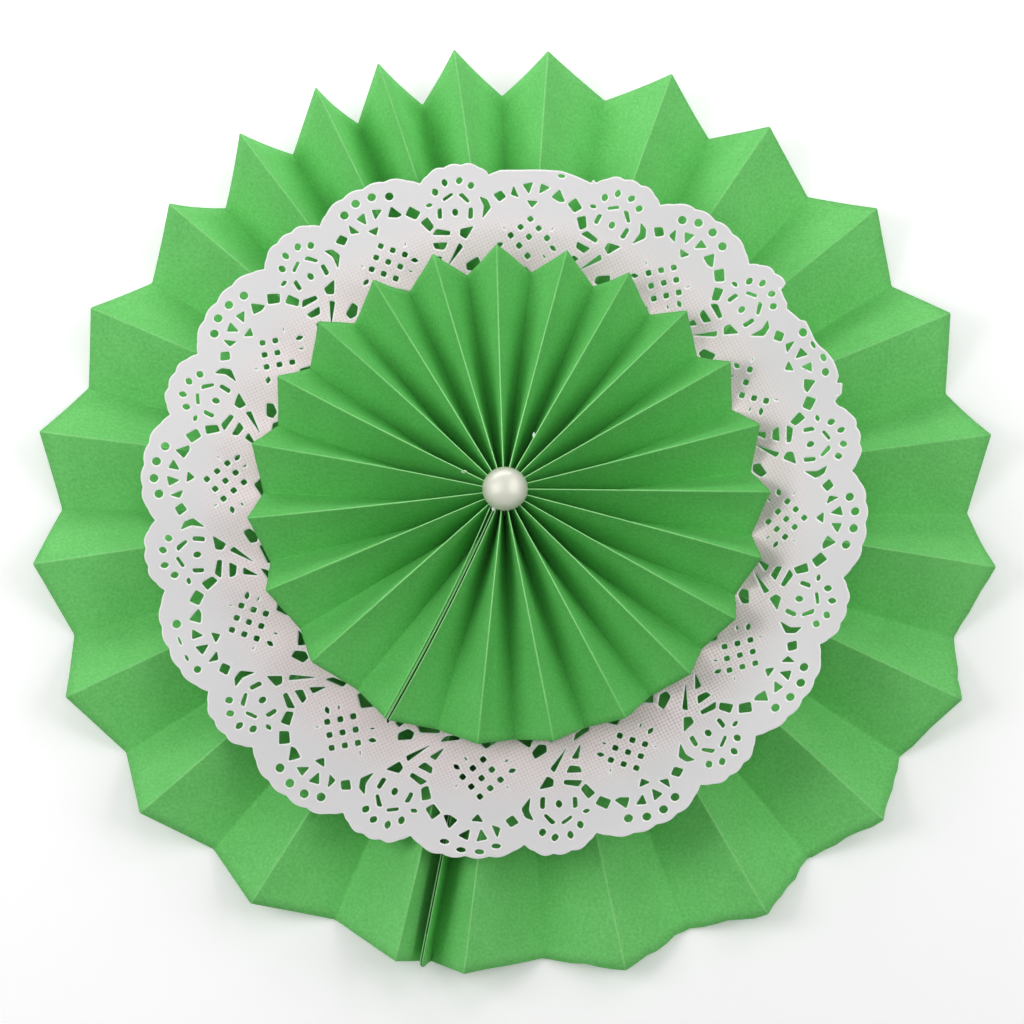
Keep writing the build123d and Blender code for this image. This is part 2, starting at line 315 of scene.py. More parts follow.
def fold_ends(
    rim, width, notch, hub, seam, feet, ridges, seam_tip, seam_notch, hub_shift, trims
):
    """Hub end and rim end of every fold; even folds are mountains and odd ones valleys.

    A mountain fold reaches the rim at a height of the root of width squared less the sideways
    room squared, the room being rim radius times the sine of the angle to the next fold. The
    two ends of the strip, at the seam, are trimmed to a height of their own, and feet say how
    many degrees from the seam the valleys beside them lie. Trims are pairs of a direction and
    the mm that the rim is shorter there; a negative trim leaves it longer.
    """
    crests = np.array([seam, *ridges, seam + 360.0])
    valleys = (crests[:-1] + crests[1:]) / 2
    valleys[[0, -1]] = seam + feet[0], seam + 360 + feet[1]
    angles = np.empty(len(crests) + len(valleys))
    angles[0::2], angles[1::2] = crests, valleys
    gaps = np.diff(angles)
    room = np.concatenate([gaps[:1], (gaps[1:] + gaps[:-1]) / 2, gaps[-1:]])
    spread = rim * np.sin(np.radians(room))
    height = np.maximum(width**2 - spread**2, FLAT_TIP_HEIGHT**2) ** 0.5
    height[[0, -1]] = np.minimum(height[[0, -1]], seam_tip)
    mountain = np.arange(len(angles)) % 2 == 0
    start = np.linspace(seam, seam + 360, len(angles))
    inner = polar(hub, start, np.where(mountain, width, 0)) + np.array([*hub_shift, 0])
    reach = np.where(mountain, rim, rim - notch)
    reach[[1, -2]] = rim - seam_notch
    where, cut_back = np.transpose(trims)
    reach = reach - np.interp(angles, where, cut_back, period=360)
    outer = polar(reach, angles, np.where(mountain, height, 0))
    shift = polar((SEAM_GAP + PAPER) / 2, seam + 90)
    inner[0], outer[0] = inner[0] + shift, outer[0] + shift
    inner[-1], outer[-1] = inner[-1] - shift, outer[-1] - shift
    return inner, outer


print("paper", PAPER, "mm thick, seam open by", SEAM_GAP, "mm")

# %% [markdown]
# ### From folds to a sheet
# A fold is rounded by a curve that leaves the old panel a little before the corner and joins the
# new one just as far after it. Between two such curves the panel is straight but for its bow.
# Rows of points run from the hub to the rim and stand closer at the hub, where the folds are
# tight. Three numbers go with each point: its distances from the mountain and from the valley, and
# how pale its crest line is drawn, which is partly wear and partly painted highlight.


# %% The pleated sheet
HUB_CROWDING = 1.15
RIM_FADE = 12
BENT_WEAR_AND_HIGHLIGHT = 0.12
FAR_MM = 20.0


def pleated_sheet(inner, outer, rows, crest_round, trough_round, bow, bend, wear_and_highlight, rough):
    """Points of the middle of the paper on a grid of rows from hub to rim and columns round it.

    Row by row the fold points are inner + (outer - inner) * v, moved sideways in the plane by
    bend * 4 * v * (1 - v). Near a fold C with unit panel directions e and f before and after it,
    the point is C + r * (t * t * f - (1 - t) ** 2 * e) for t from 0 to 1. The flat part of a
    panel, for s from 0 to 1 across it, is moved along its normal by v * bow * 4 * s * (1 - s).
    The rim is cut back by rough(point) mm, fading inwards with v to the power of RIM_FADE.
    """
    v = np.linspace(0, 1, rows) ** HUB_CROWDING
    run = outer - inner
    sideways = unit(np.column_stack([-run[:, 1], run[:, 0], run[:, 2] * 0]))
    folds = inner[:, None] + run[:, None] * v[None, :, None]
    folds += (sideways * bend[:, None])[:, None] * (4 * v * (1 - v))[None, :, None]
    along = folds[1:] - folds[:-1]
    width = np.linalg.norm(along, axis=-1)[..., None]
    ahead = along / width
    before = np.concatenate([ahead[:1], ahead[:-1]])
    after = np.concatenate([ahead[1:], ahead[-1:]])
    mountain = (np.arange(len(inner)) % 2 == 0)[:, None, None]
    crest_radius, trough_radius = (
        (first + (last - first) * v)[:, None] for first, last in (crest_round, trough_round)
    )
    radius = np.where(mountain, crest_radius, trough_radius)
    start_radius, end_radius = radius[:-1], radius[1:]
    side = unit(np.cross(run[:-1, None], ahead))
    columns, crest_mm = [], []
    for t in (0.5, 0.6, 0.75, 0.9):
        columns.append(folds[:-1] + start_radius * (t * t * ahead - (1 - t) ** 2 * before))
        crest_mm.append(start_radius * (2 * t - 1))
    for s in np.linspace(0, 1, 7):
        distance = start_radius + (width - start_radius - end_radius) * s
        lift = (bow * v)[..., None] * 4 * s * (1 - s)
        columns.append(folds[:-1] + ahead * distance + side * lift)
        crest_mm.append(distance)
    for t in (0.1, 0.25, 0.4):
        columns.append(folds[1:] + end_radius * (t * t * after - (1 - t) ** 2 * ahead))
        crest_mm.append(width - end_radius * (1 - 2 * t))
    points = np.stack(columns, axis=1)
    from_start = np.broadcast_to(np.stack(crest_mm, axis=1), points.shape[:-1] + (1,))[..., 0]
    from_end = width[:, None, :, 0] - from_start
    starts_up = (np.arange(len(along)) % 2 == 0)[:, None, None]
    to_crest = np.where(starts_up, from_start, from_end)
    to_trough = np.where(starts_up, from_end, from_start)
    points = points.reshape(-1, rows, 3)
    points[0] = folds[0]
    points = np.concatenate([points, folds[-1:]]).transpose(1, 0, 2)
    crest_number = 2 * ((np.arange(len(along)) + 1) // 2)
    # The crest line is paler where a fold bends: partly wear, partly painted highlight.
    pale = wear_and_highlight[0] + (wear_and_highlight[1] - wear_and_highlight[0]) * v[None] + BENT_WEAR_AND_HIGHLIGHT * bend[crest_number, None]
    pale = np.broadcast_to(pale[:, None], to_crest.shape)
    values = {}
    for key, value, last in (
        ("crest_mm", to_crest, 0.0), ("trough_mm", to_trough, FAR_MM), ("wear_and_highlight", pale, 0.0)
    ):
        values[key] = np.concatenate([value.reshape(-1, rows), np.full((1, rows), last)]).T
    outwards = unit(points * [1, 1, 0])
    near_rim = (v[:, None] ** RIM_FADE)[..., None]
    points -= outwards * near_rim * rough(points)[..., None]
    return points, values


print("rows of a ring stand closer at the hub by the power", HUB_CROWDING)

# %% [markdown]
# ### Two faces and a cut edge
# The sheet worked out so far is the middle of the paper. Its points are moved half a thickness
# along the normal to either side. Blender could do the same with a modifier, but here the numbers
# for the material go along without a doubt.


# %% Give a sheet its thickness
def two_sided(
    name, points, values, centre, base, material, thick=PAPER, edge=cut_green
):
    """A closed piece round a sheet of points, half a thickness on either side."""
    rows, columns = points.shape[:2]
    down = np.gradient(points, axis=0)
    across = np.gradient(points, axis=1)
    normal = unit(np.cross(down, across))
    middle = points + np.array([*centre, base])
    skins = [(middle + normal * side * thick / 2).reshape(-1, 3) for side in (1, -1)]
    faces, border = sheet_faces(rows, columns)
    piece = make_mesh(name, np.concatenate(skins), faces, [material, edge], border, ~border)
    for key, value in values.items():
        add_value(piece, key, np.concatenate([value.ravel()] * 2))
    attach(piece, "root")
    return piece


print("half a sheet is", PAPER / 2, "mm thick")

# %% [markdown]
# ### Large ring
# Twelve inches across, folded every inch. The directions of the mountain folds are those of the
# real one, which was spaced by hand: crowded at the top, wide at the bottom. The pleats weren't
# cut to one length either, so the rim is trimmed pleat by pleat.

# %% Sizes of the large ring
LARGE = dict(
    rim=152.2, width=25.4, notch=8.4, hub=7.0, seam=259.0, feet=(0.85, 0.6), seam_tip=12.0,
    seam_notch=5.8, hub_shift=(0.0, 0.0),
)
LARGE_RIDGES = (
    264.2, 282.8, 300.4, 318.0, 335.1, 351.8, 368.2, 384.2, 400.2, 416.8, 430.5, 445.9,
    457.4, 466.9, 475.1, 486.0, 498.3, 514.5, 531.3, 547.8, 564.6, 581.1, 597.8, 616.3,
)
LARGE_TRIMS = (
    (9, -0.1), (24, -0.4), (39, -0.7), (47, -1.0), (55, 1.5), (63, 0.5), (70, -1.0), (77, -1.6),
    (86, 0.0), (106, 0.0), (115, 0.6), (126, 1.4), (132, 3.4), (139, 3.5), (147, 2.7), (154, 2.0),
    (163, 0.6), (170, -0.1), (187, -0.1), (203, -1.0), (211, -0.4), (219, -0.9), (229, 0.3),
    (236, 0.5), (246, 1.6), (256, 0.0), (264, 0.0), (275, 0.0), (284, -0.8), (302, -1.3),
    (320, -1.2), (337, -1.0), (353, -0.1),
)
inner, outer = fold_ends(ridges=LARGE_RIDGES, trims=LARGE_TRIMS, **LARGE)
print("folds of the large ring:", len(inner), "highest tip:", outer[:, 2].max().round(1), "mm")

# %% [markdown]
# At the lower right the scissors wavered, and there the rim is moved in by a sum of short waves.
# The two upright panels at the seam had their upper corners rounded off.

# %% Cut its rim
RIM_WAVES = ((0.35, 61, 0.4), (0.3, 97, 2.0), (0.22, 151, 4.1))
WAVER_MIDDLE = 308.0
WAVER_SPREAD = 32.0
WAVER_ELSEWHERE = 0.04
FIN_MIDDLE = 259.6
FIN_HALF = 0.8
FIN_ROUNDING = 3.2


def wavy_rim(points):
    """How far the rim is cut back in mm: a sum of sines round the ring, strong at lower right.

    Each sine has a size, a count of waves round the ring and a phase. The upright panels at the
    seam lose their upper corners as well, by the cube of the height above half of the panel.
    """
    angle = np.degrees(np.arctan2(points[..., 1], points[..., 0])) % 360
    window = np.exp(-(((angle - WAVER_MIDDLE) / WAVER_SPREAD) ** 2))
    waves = sum(
        size * (1 + np.sin(np.radians(angle) * count + phase)) for size, count, phase in RIM_WAVES
    )
    across = points[..., 2] / LARGE["seam_tip"] * 2 - 1
    fin = (np.abs(angle - FIN_MIDDLE) < FIN_HALF) * FIN_ROUNDING * np.maximum(across, 0) ** 3
    return WAVER_ELSEWHERE * waves + window * waves + fin


print("the rim at the lower right is cut back by", wavy_rim(polar(150.0, 308.0)).round(2), "mm")

# %% [markdown]
# Each panel bows a little and each fold bends a little. Both are drawn at random about a middle
# value, because folded paper never lies the same way twice. The folds at the seam stay straight.

# %% Fold the large ring
# The last setting is how pale the crest line is at hub and rim, partly wear and partly painted
# highlight.
LARGE_SHEET = dict(rows=44, crest_round=(0.3, 0.35), trough_round=(0.3, 0.8), wear_and_highlight=(0.3, 0.22))
LARGE_BOW = (-0.25, 0.3)
LARGE_BEND = (0.0, 0.35)
LARGE_BASE = 0.725
chance = np.random.default_rng(12)
large_bow = chance.normal(*LARGE_BOW, len(inner) - 1)[:, None]
large_bend = chance.normal(*LARGE_BEND, len(inner))
large_bend[[0, -1]] = 0
large_points, large_values = pleated_sheet(
    inner, outer, bow=large_bow, bend=large_bend, rough=wavy_rim, **LARGE_SHEET
)
large_rosette = two_sided(
    "large_pleated_ring", large_points, large_values, (0, 0), LARGE_BASE, large_green
)
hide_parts("large_rosette")

# %% [markdown]
# ### Small ring
# Made the same way from a narrower strip, and cut more neatly. Its seam lies at the lower left,
# where both ends of the strip stand side by side and swing a little out of line.

# %% Fold the small ring
SMALL = dict(
    rim=80.9, width=16.6, notch=4.6, hub=5.0, seam=243.0, feet=(10.4, -10.4), seam_tip=16.6,
    seam_notch=4.6, hub_shift=(-1.0, -1.0),
)
SMALL_RIDGES = (
    263.4, 279.8, 296.2, 313.3, 329.1, 344.1, 359.4, 375.2, 391.1, 406.4, 422.0,
    436.8, 452.6, 467.0, 481.6, 497.2, 512.7, 529.3, 546.4, 563.4, 582.0,
)
SMALL_TRIMS = ((0, 0.0),)
# The last setting is how pale the crest line is at hub and rim, partly wear and partly painted
# highlight.
SMALL_SHEET = dict(rows=40, crest_round=(0.25, 0.3), trough_round=(0.25, 0.6), wear_and_highlight=(1.0, 0.15))
SMALL_BOW = (-0.12, 0.16)
SMALL_BEND = (0.0, 0.2)
SMALL_CENTRE = (-2.0, -4.3)
SMALL_BASE = 26.675
SMALL_WAVE = (0.06, 83)
SEAM_BEND = 1.1


def straight_rim(points):
    """How far the rim is cut back in mm: one low sine, because a knife hardly wavers."""
    size, count = SMALL_WAVE
    angle = np.arctan2(points[..., 1], points[..., 0])
    return size * (1 + np.sin(angle * count))


inner, outer = fold_ends(ridges=SMALL_RIDGES, trims=SMALL_TRIMS, **SMALL)
small_bow = chance.normal(*SMALL_BOW, len(inner) - 1)[:, None]
small_bend = chance.normal(*SMALL_BEND, len(inner))
small_bend[[0, -1]] = SEAM_BEND
small_points, small_values = pleated_sheet(
    inner, outer, bow=small_bow, bend=small_bend, rough=straight_rim, **SMALL_SHEET
)
small_rosette = two_sided(
    "small_pleated_ring", small_points, small_values, SMALL_CENTRE, SMALL_BASE, small_green_painted_darker
)
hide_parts("small_rosette")

# %% [markdown]
# ### Lap beside the small seam
# The strip was a little too long, and a narrow lap of it shows as a third cut edge beside the
# seam. It is a sheet that hangs from a line along the fold. The glue in the seam will be another
# such sheet, so both come from one function.

# %% Hang the lap
LAP_GAP = 0.95
LAP_HUB_GAP = 0.3
LAP_DEPTH = 0.8
small_seam_ends = np.stack([inner[[0, -1]], outer[[0, -1]]])


def seam_sheet(line, aside, top, bottom):
    """Points of a sheet that hangs from a line along the small seam.

    A point is first + (last - first) * v for v from 0 at the hub to 1 at the rim, moved beside
    the seam by SEAM_BEND * 4 * v * (1 - v) - aside(v), and down from top to bottom(v).
    """
    v = np.linspace(0, 1, 30)[:, None, None]
    down = np.linspace(0, 1, 3)[None, :, None]
    first, last = line
    beside = polar(1.0, SMALL["seam"] + 90)
    middle = first + (last - first) * v + beside * (SEAM_BEND * 4 * v * (1 - v) - aside(v))
    return middle - np.array([0, 0, 1.0]) * (top + (bottom(v) - top) * down)


lap_points = seam_sheet(
    small_seam_ends[:, 1],
    aside=lambda v: LAP_GAP + LAP_HUB_GAP * (1 - v) ** 4,
    top=0.0,
    bottom=lambda v: LAP_DEPTH * (1 + (1 - v) ** 2),
)
plain = np.full(lap_points.shape[:2], FAR_MM)
two_sided(
    "small_ring_lap", lap_points, {"crest_mm": plain, "trough_mm": plain, "wear_and_highlight": plain * 0},
    SMALL_CENTRE, SMALL_BASE, small_green_painted_darker,
)

# %% [markdown]
# ## Lace paper
# A doily is stamped from thin white paper: one stroke cuts the scalloped edge and the holes and
# presses a relief into the rest. Three numbers at each point steer the finish. One is how near it
# is to a cut, where a bright rim is drawn that is partly pressed paper and partly painted
# highlight.
# One is how deep the dots are struck there, and their pits are painted darker as shade. One is how
# far in it lies, where the paper is painted brighter and pinker as painted light. The dots are the
# corners of square cells just over a millimetre apart.

# %% Stamped lace paper
LACE_WHITE = "E7E5E6"
# Painted highlight on the rims of the holes, over partly pressed paper.
LACE_RIM_HIGHLIGHT = "FFFEFD"
# Painted light: the inner part of the lace is painted brighter and pinker.
LACE_PAINTED_LIGHT = "FFF0F1"
# Painted shade in the pits of the dots.
LACE_PIT_SHADE = "BDABA6"
EMBOSS_PITCH = 1.07


def lace_finish():
    """Thin white paper with a dot relief; painted light inwards, painted highlight at rims, painted
    pit shade.
    """
    material, tree, shader = new_material(
        "stamped_lace_paper", LACE_WHITE, {"Roughness": 0.75, "Specular IOR Level": 0.3}
    )
    # The inner zone says where the paper is painted brighter and pinker, as painted light.
    rim, relief, zone = [
        add_node(tree, "ShaderNodeAttribute", {"attribute_name": key}).outputs["Fac"]
        for key in ("rim", "relief", "inner_zone")
    ]
    cells = add_node(
        tree,
        "ShaderNodeTexVoronoi",
        {"voronoi_dimensions": "2D"},
        {"Scale": 1.0, "Randomness": 0.1},
        {"Vector": add_node(tree, "ShaderNodeUVMap", {"uv_map": "emboss_grid"}).outputs["UV"]},
    ).outputs["Distance"]
    # Amounts of the painted rim highlight and of the dot pits.
    painted_light_mark, pits = [
        add_node(
            tree, "ShaderNodeMapRange", {}, {"From Min": low, "From Max": high}, {"Value": value}
        ).outputs[0]
        for value, low, high in ((rim, 0.25, 0.5), (cells, 0.38, 0.66))
    ]
    # Pit amount times relief: painted shade in the pits, and the height for the bump.
    deep = add_node(
        tree, "ShaderNodeMath", {"operation": "MULTIPLY"}, links={0: pits, 1: relief}
    ).outputs[0]
    layers = ((zone, LACE_PAINTED_LIGHT), (deep, LACE_PIT_SHADE), (painted_light_mark, LACE_RIM_HIGHLIGHT))
    lay_shades(tree, shader, LACE_WHITE, layers)
    bump = add_node(
        tree,
        "ShaderNodeBump",
        {"invert": True},
        values={"Strength": 0.5, "Distance": 0.15 * MM},
        links={"Height": deep},
    )
    tree.links.new(bump.outputs["Normal"], shader.inputs["Normal"])
    return material


lace_paper = lace_finish()
print("lace material:", lace_paper.name)

# %% [markdown]
# ### The pattern
# The pattern repeats twelve times, with a fan and a rose in each repeat. Each hole is a short list
# of corners, measured in from the edge in mm and round from the axis of the fan in degrees. A
# growth beside each list makes up for what the rounded corners take off.

# %% Holes of one repeat
LACE_RADIUS = 114.3
FAN_DARTS = [
    ((9.6, -2.8), (11.6, -1.3), (8.6, -1.4)),
    ((8.5, 0.2), (11.9, 0.7), (9.3, 1.7)),
    ((10.2, 3.4), (13.3, 2.6), (12.6, 3.8)),
    ((14.6, -1.0), (16.7, -0.1), (14.6, 0.8)),
]
FAN_FRAME = [
    ((10.1, -4.7), (13.3, -5.8), (13.6, -5.0), (12.6, -3.7)),
    ((11.8, -7.8), (14.4, -9.2), (16.2, -8.1), (14.0, -6.7)),
    ((16.9, -10.3), (20.2, -11.0), (21.4, -10.0), (18.0, -8.9)),
    ((11.5, 5.7), (13.4, 4.9), (14.8, 6.0), (12.7, 6.9)),
    ((16.8, 7.8), (19.7, 9.3), (16.2, 8.9), (13.4, 9.5), (14.4, 8.3)),
]
ROSE_PETALS = [
    ((16.4, 11.0), (20.0, 11.3), (19.8, 12.1), (16.5, 11.8)),
    ((11.0, 12.6), (14.1, 11.4), (14.5, 12.0), (11.4, 13.3)),
    ((10.3, 14.4), (11.2, 14.2), (12.8, 16.0), (11.8, 16.3)),
    ((14.7, 16.7), (18.4, 17.0), (18.4, 17.9), (14.7, 17.5)),
]
ROSE_DROPS = [
    ((7.7, 10.8), (9.0, 10.3), (10.1, 11.0), (8.9, 11.5)),
    ((5.5, 12.6), (6.9, 12.2), (8.0, 13.0), (6.6, 13.4)),
    ((5.3, 15.4), (6.5, 14.8), (7.9, 15.3), (6.7, 15.8)),
    ((7.8, 17.3), (9.0, 16.7), (10.4, 17.2), (9.2, 17.8)),
    ((12.4, 18.6), (13.2, 18.3), (13.5, 19.0), (12.8, 19.3)),
]
INNER_BARS = [
    ((22.7, 11.3), (26.4, 13.1), (25.0, 14.2), (23.0, 13.9)),
    ((23.0, 16.0), (24.4, 16.2), (22.9, 19.7), (21.2, 18.6)),
    ((26.5, 17.1), (28.4, 18.1), (27.4, 19.8), (25.6, 19.9)),
    ((28.9, 14.2), (33.3, 17.7), (27.7, 14.8)),
    ((30.6, 18.8), (33.9, 21.2), (30.0, 20.1)),
    ((32.3, 11.1), (34.3, 10.6), (36.5, 12.2), (36.1, 13.8), (34.0, 13.8)),
    ((36.1, 10.0), (38.6, 7.5), (38.4, 11.0)),
    ((36.8, 15.2), (38.9, 14.0), (40.3, 18.6), (38.2, 19.3)),
    ((35.7, -9.8), (37.6, -8.9), (38.9, -5.8), (37.4, -5.9)),
    ((35.7, 0.4), (38.5, -2.0), (41.0, 0.4), (38.7, 3.4)),
]
DART_GROWTH = (1.25, 1.25, 1.33, 1.22)
FRAME_GROWTH = (1.27, 1.16, 1.15, 1.20, 1.21)
PETAL_GROWTH = (1.1, 1.08, 1.02, 0.95)
DROP_GROWTH = (1.33, 1.25, 1.35, 1.34, 1.5)
BAR_GROWTH = (1.06, 1.0, 1.11, 1.24, 1.14, 1.05, 1.2, 1.1, 1.1, 1.05)
corner_lists = FAN_DARTS + FAN_FRAME + ROSE_PETALS + ROSE_DROPS + INNER_BARS
print("holes with corners in each repeat:", len(corner_lists))

# %% [markdown]
# ### Shapes of the holes
# Every corner is cut off by a short curve, which rounds it the way a worn steel die does. The
# curve starts and ends on the sides of the corner, so it can't bulge out of the hole.

# %% Rounded corners
CORNER_CUT = 0.6


def rounded(corners, cut=CORNER_CUT):
    """Each corner replaced by four points of a short curve that starts cut mm before it.

    The curve is (1 - t)^2 before + 2 t (1 - t) corner + t^2 after, for t from 0 to 1.
    """
    loop = np.asarray(corners, float)
    ahead = np.roll(loop, -1, axis=0) - loop
    length = np.linalg.norm(ahead, axis=1, keepdims=True)
    cut = np.minimum(cut, 0.5 * np.minimum(length, np.roll(length, 1, axis=0)))
    after = loop + ahead / length * cut
    before = loop - np.roll(ahead / length, 1, axis=0) * cut
    t = np.linspace(0, 1, 4)[:, None]
    curve = (1 - t) ** 2 * before[:, None] + 2 * t * (1 - t) * loop[:, None]
    return (curve + t**2 * after[:, None]).reshape(-1, 2)


def from_edge(corners, growth, cut=CORNER_CUT):
    """Corners given as inset and degrees to plane points, grown by what rounding takes off."""
    inset, degrees = np.array(corners, float).T
    flat = polar(LACE_RADIUS - inset, degrees)[:, :2]
    middle = flat.mean(axis=0)
    return rounded(middle + (flat - middle) * growth, cut)


print("a rounded square has", len(rounded([(1, 0), (0, 1), (-1, 0), (0, -1)])), "points")

# %% [markdown]
# The rose has four petals that bow round its heart, which is an oval hole, and five drops further
# out. Petals and drops were punched by rounder dies than the rest, so their corners are cut
# further off. Four round holes stand along the edge of each fan.

# %% Petals and round holes
ROUND_CUT = 1.2
PETAL_BOW = 0.3
ROSE_HEART = (17.1, 14.4)
HEART_HALVES = (1.25, 0.97)
ROUND_RADIUS = 1.37
FAN_ROUNDS = [
    (inset, degrees, ROUND_RADIUS, ROUND_RADIUS)
    for inset, degrees in ((6.2, -5.0), (4.4, -2.2), (4.3, 0.7), (6.2, 3.3))
]


def petal(corners, growth):
    """A petal of the rose: away from the heart by PETAL_BOW * (0.5 - share ** 2).

    The share runs from -1 to 1 along the petal, from one end to the other.
    """
    loop = from_edge(corners, growth, ROUND_CUT)
    heart = polar(LACE_RADIUS - ROSE_HEART[0], ROSE_HEART[1])[:2]
    middle = loop.mean(axis=0)
    out = unit(middle - heart)
    along = (loop - middle) @ np.array([-out[1], out[0]])
    share = along / np.abs(along).max()
    return loop + out * (PETAL_BOW * (0.5 - share**2))[:, None]


def oval(inset, degrees, half_out, half_across, count=16):
    """A round or oval hole: an ellipse with its first half axis pointing outwards."""
    turn = np.linspace(0, 2 * np.pi, count, endpoint=False)
    local = np.stack([half_out * np.cos(turn), half_across * np.sin(turn)], axis=1)
    return turned(local + [LACE_RADIUS - inset, 0], degrees)


print("round holes of a fan:", len(FAN_ROUNDS), "each", 2 * ROUND_RADIUS, "mm across")

# %% [markdown]
# At the foot of the fan nine squares stand on their corners and make a lattice, with six slits
# beside them. A slit is given by how far out and how far across it lies, its length, its width
# and its turn.

# %% Lattice and slits
LATTICE_RADIUS = 87.8
LATTICE_PITCH = 4.1
LATTICE_SIDE = 1.8
SLIT_SKEW = 0.2
LATTICE_SLITS = [
    (84.9, -7.9, 2.9, 1.75, 60), (84.7, 9.1, 2.9, 1.75, -60), (82.2, -5.3, 1.8, 0.65, 45),
    (81.8, 7.1, 1.8, 0.65, -45), (90.8, -7.4, 1.7, 0.35, -40), (90.0, 8.2, 1.7, 0.35, 40),
]


def square(out, across, side):
    """A small square hole standing on its corner, at a place beside the fan axis."""
    half = side / 2**0.5
    return np.array([out, across]) + rounded([(half, 0), (0, half), (-half, 0), (0, -half)])


def slit(out, across, length, width, degrees):
    """A narrow four-sided hole, turned from the axis of the fan."""
    x, y = length / 2, width / 2
    loop = rounded([(x, 0), (0, y), (-x, SLIT_SKEW * y), (0, -y)])
    return np.array([out, across]) + turned(loop, degrees)


def lattice(skip):
    """Nine small holes on a grid that stands on its corner, less the ones in skip."""
    steps = [(i, j) for i in (-1, 0, 1) for j in (-1, 0, 1) if (i, j) not in skip]
    step = LATTICE_PITCH / 2**0.5
    places = [((i + j) * step, (j - i) * step) for i, j in steps]
    return [square(LATTICE_RADIUS + out, across, LATTICE_SIDE) for out, across in places]


print("squares:", len(lattice(())), "slits:", len(LATTICE_SLITS))

# %% [markdown]
# ### Flaws of this doily
# Paper lace is never stamped quite evenly. On this one some lattice squares stayed closed, and on
# four fans the round holes came out of shape, two of them squeezed nearly shut by a crease. On the
# bottom fan the darts lie a little further out. Repeats are counted from the fan at the upper
# right, against the clock.

# %% All holes of the doily
SKIPPED_SQUARES = {
    0: ((0, 0), (0, 1), (1, 0), (1, 1)),
    2: ((0, -1),),
    4: ((1, -1), (0, -1)),
}
LACE_REPEATS = 12
FLAWED_ROUNDS = {
    0: (
        (5.6, -4.1, 1.2, 1.3), (4.3, -1.7, 0.9, 1.4), (5.3, 1.1, 0.6, 1.3), (6.1, 3.9, 1.3, 1.45),
    ),
    2: (
        (5.1, -4.6, 0.65, 1.2),
    ),
    6: (
        (5.6, -4.7, 1.35, 1.35), (4.6, -1.9, 0.35, 1.5),
        (4.4, 1.2, 0.45, 1.1), (5.7, 3.7, 1.15, 1.15),
    ),
    8: (
        (5.4, -5.0, 0.8, 1.45), (3.5, -2.2, 0.8, 1.45),
        (3.4, 0.7, 0.8, 1.45), (5.4, 3.3, 0.8, 1.45),
    ),
}
BOTTOM_FAN = 8
BOTTOM_PUSH = 1.7


def repeat_holes(repeat):
    """Every hole of one repeat, with the flaws of that repeat, still on the first fan's axis."""
    push = BOTTOM_PUSH if repeat == BOTTOM_FAN else 0.0
    darts = [[(inset - push, degrees) for inset, degrees in dart] for dart in FAN_DARTS]
    straight = (darts + FAN_FRAME + INNER_BARS, DART_GROWTH + FRAME_GROWTH + BAR_GROWTH)
    holes = [from_edge(*pair) for pair in zip(*straight)]
    holes += [petal(*pair) for pair in zip(ROSE_PETALS, PETAL_GROWTH)]
    holes += [from_edge(*pair, ROUND_CUT) for pair in zip(ROSE_DROPS, DROP_GROWTH)]
    holes += [oval(*place) for place in FLAWED_ROUNDS.get(repeat, FAN_ROUNDS)]
    holes.append(oval(*ROSE_HEART, *HEART_HALVES, 14))
    holes += lattice(SKIPPED_SQUARES.get(repeat, ()))
    holes += [slit(*place) for place in LATTICE_SLITS]
    return holes


holes = []
for repeat in range(LACE_REPEATS):
    holes += [turned(hole, 360 * repeat / LACE_REPEATS) for hole in repeat_holes(repeat)]
print("holes in the doily:", len(holes))

# %% [markdown]
# ### The outline
# Two sizes of scallop alternate, each edged with four or five tiny ones. A lobe is given by its
# direction, half its width, its inset and its number of tiny scallops. The edge is torn at the
# upper right and at the top, where two lists give directions and the mm that are missing there,
# and it is drawn in at the bottom fan.

# %% Edge of the doily
CUSP_DEPTH = 5.2
FAN_LOBE = (-1.4, 9.2, 0.0, 5)
ROSE_LOBE = (13.6, 5.8, 0.8, 4)
FINE_LOBE_DEPTH = 0.75
TORN_EDGES = [
    ((-16.9, 0.5), (-15.5, 0.4), (-14.4, 0.8), (-13.3, 1.6), (-12.3, 2.7), (-11.3, 3.8),
     (-10.4, 5.6), (-9.5, 6.1), (-9.0, 4.8), (-8.8, 3.4), (-7.1, 1.9), (-6.7, 3.7), (-5.8, 2.2),
     (-4.8, 1.9), (-3.0, 1.8), (-0.9, 2.7), (0.5, 3.8), (1.6, 4.1), (3.3, 3.8), (5.2, 3.4),
     (6.0, 4.7), (9.0, 6.0), (9.7, 4.9), (10.9, 4.5), (12.3, 3.6)),
    ((50.1, 5.6), (53.2, 4.2), (55.5, 3.4), (59.1, 3.8), (62.4, 4.3), (65.8, 4.4), (67.8, 5.8)),
]
EDGE_TUCK = 1.1
EDGE_TUCK_AT = 241.0
EDGE_TUCK_SPREAD = 7.0


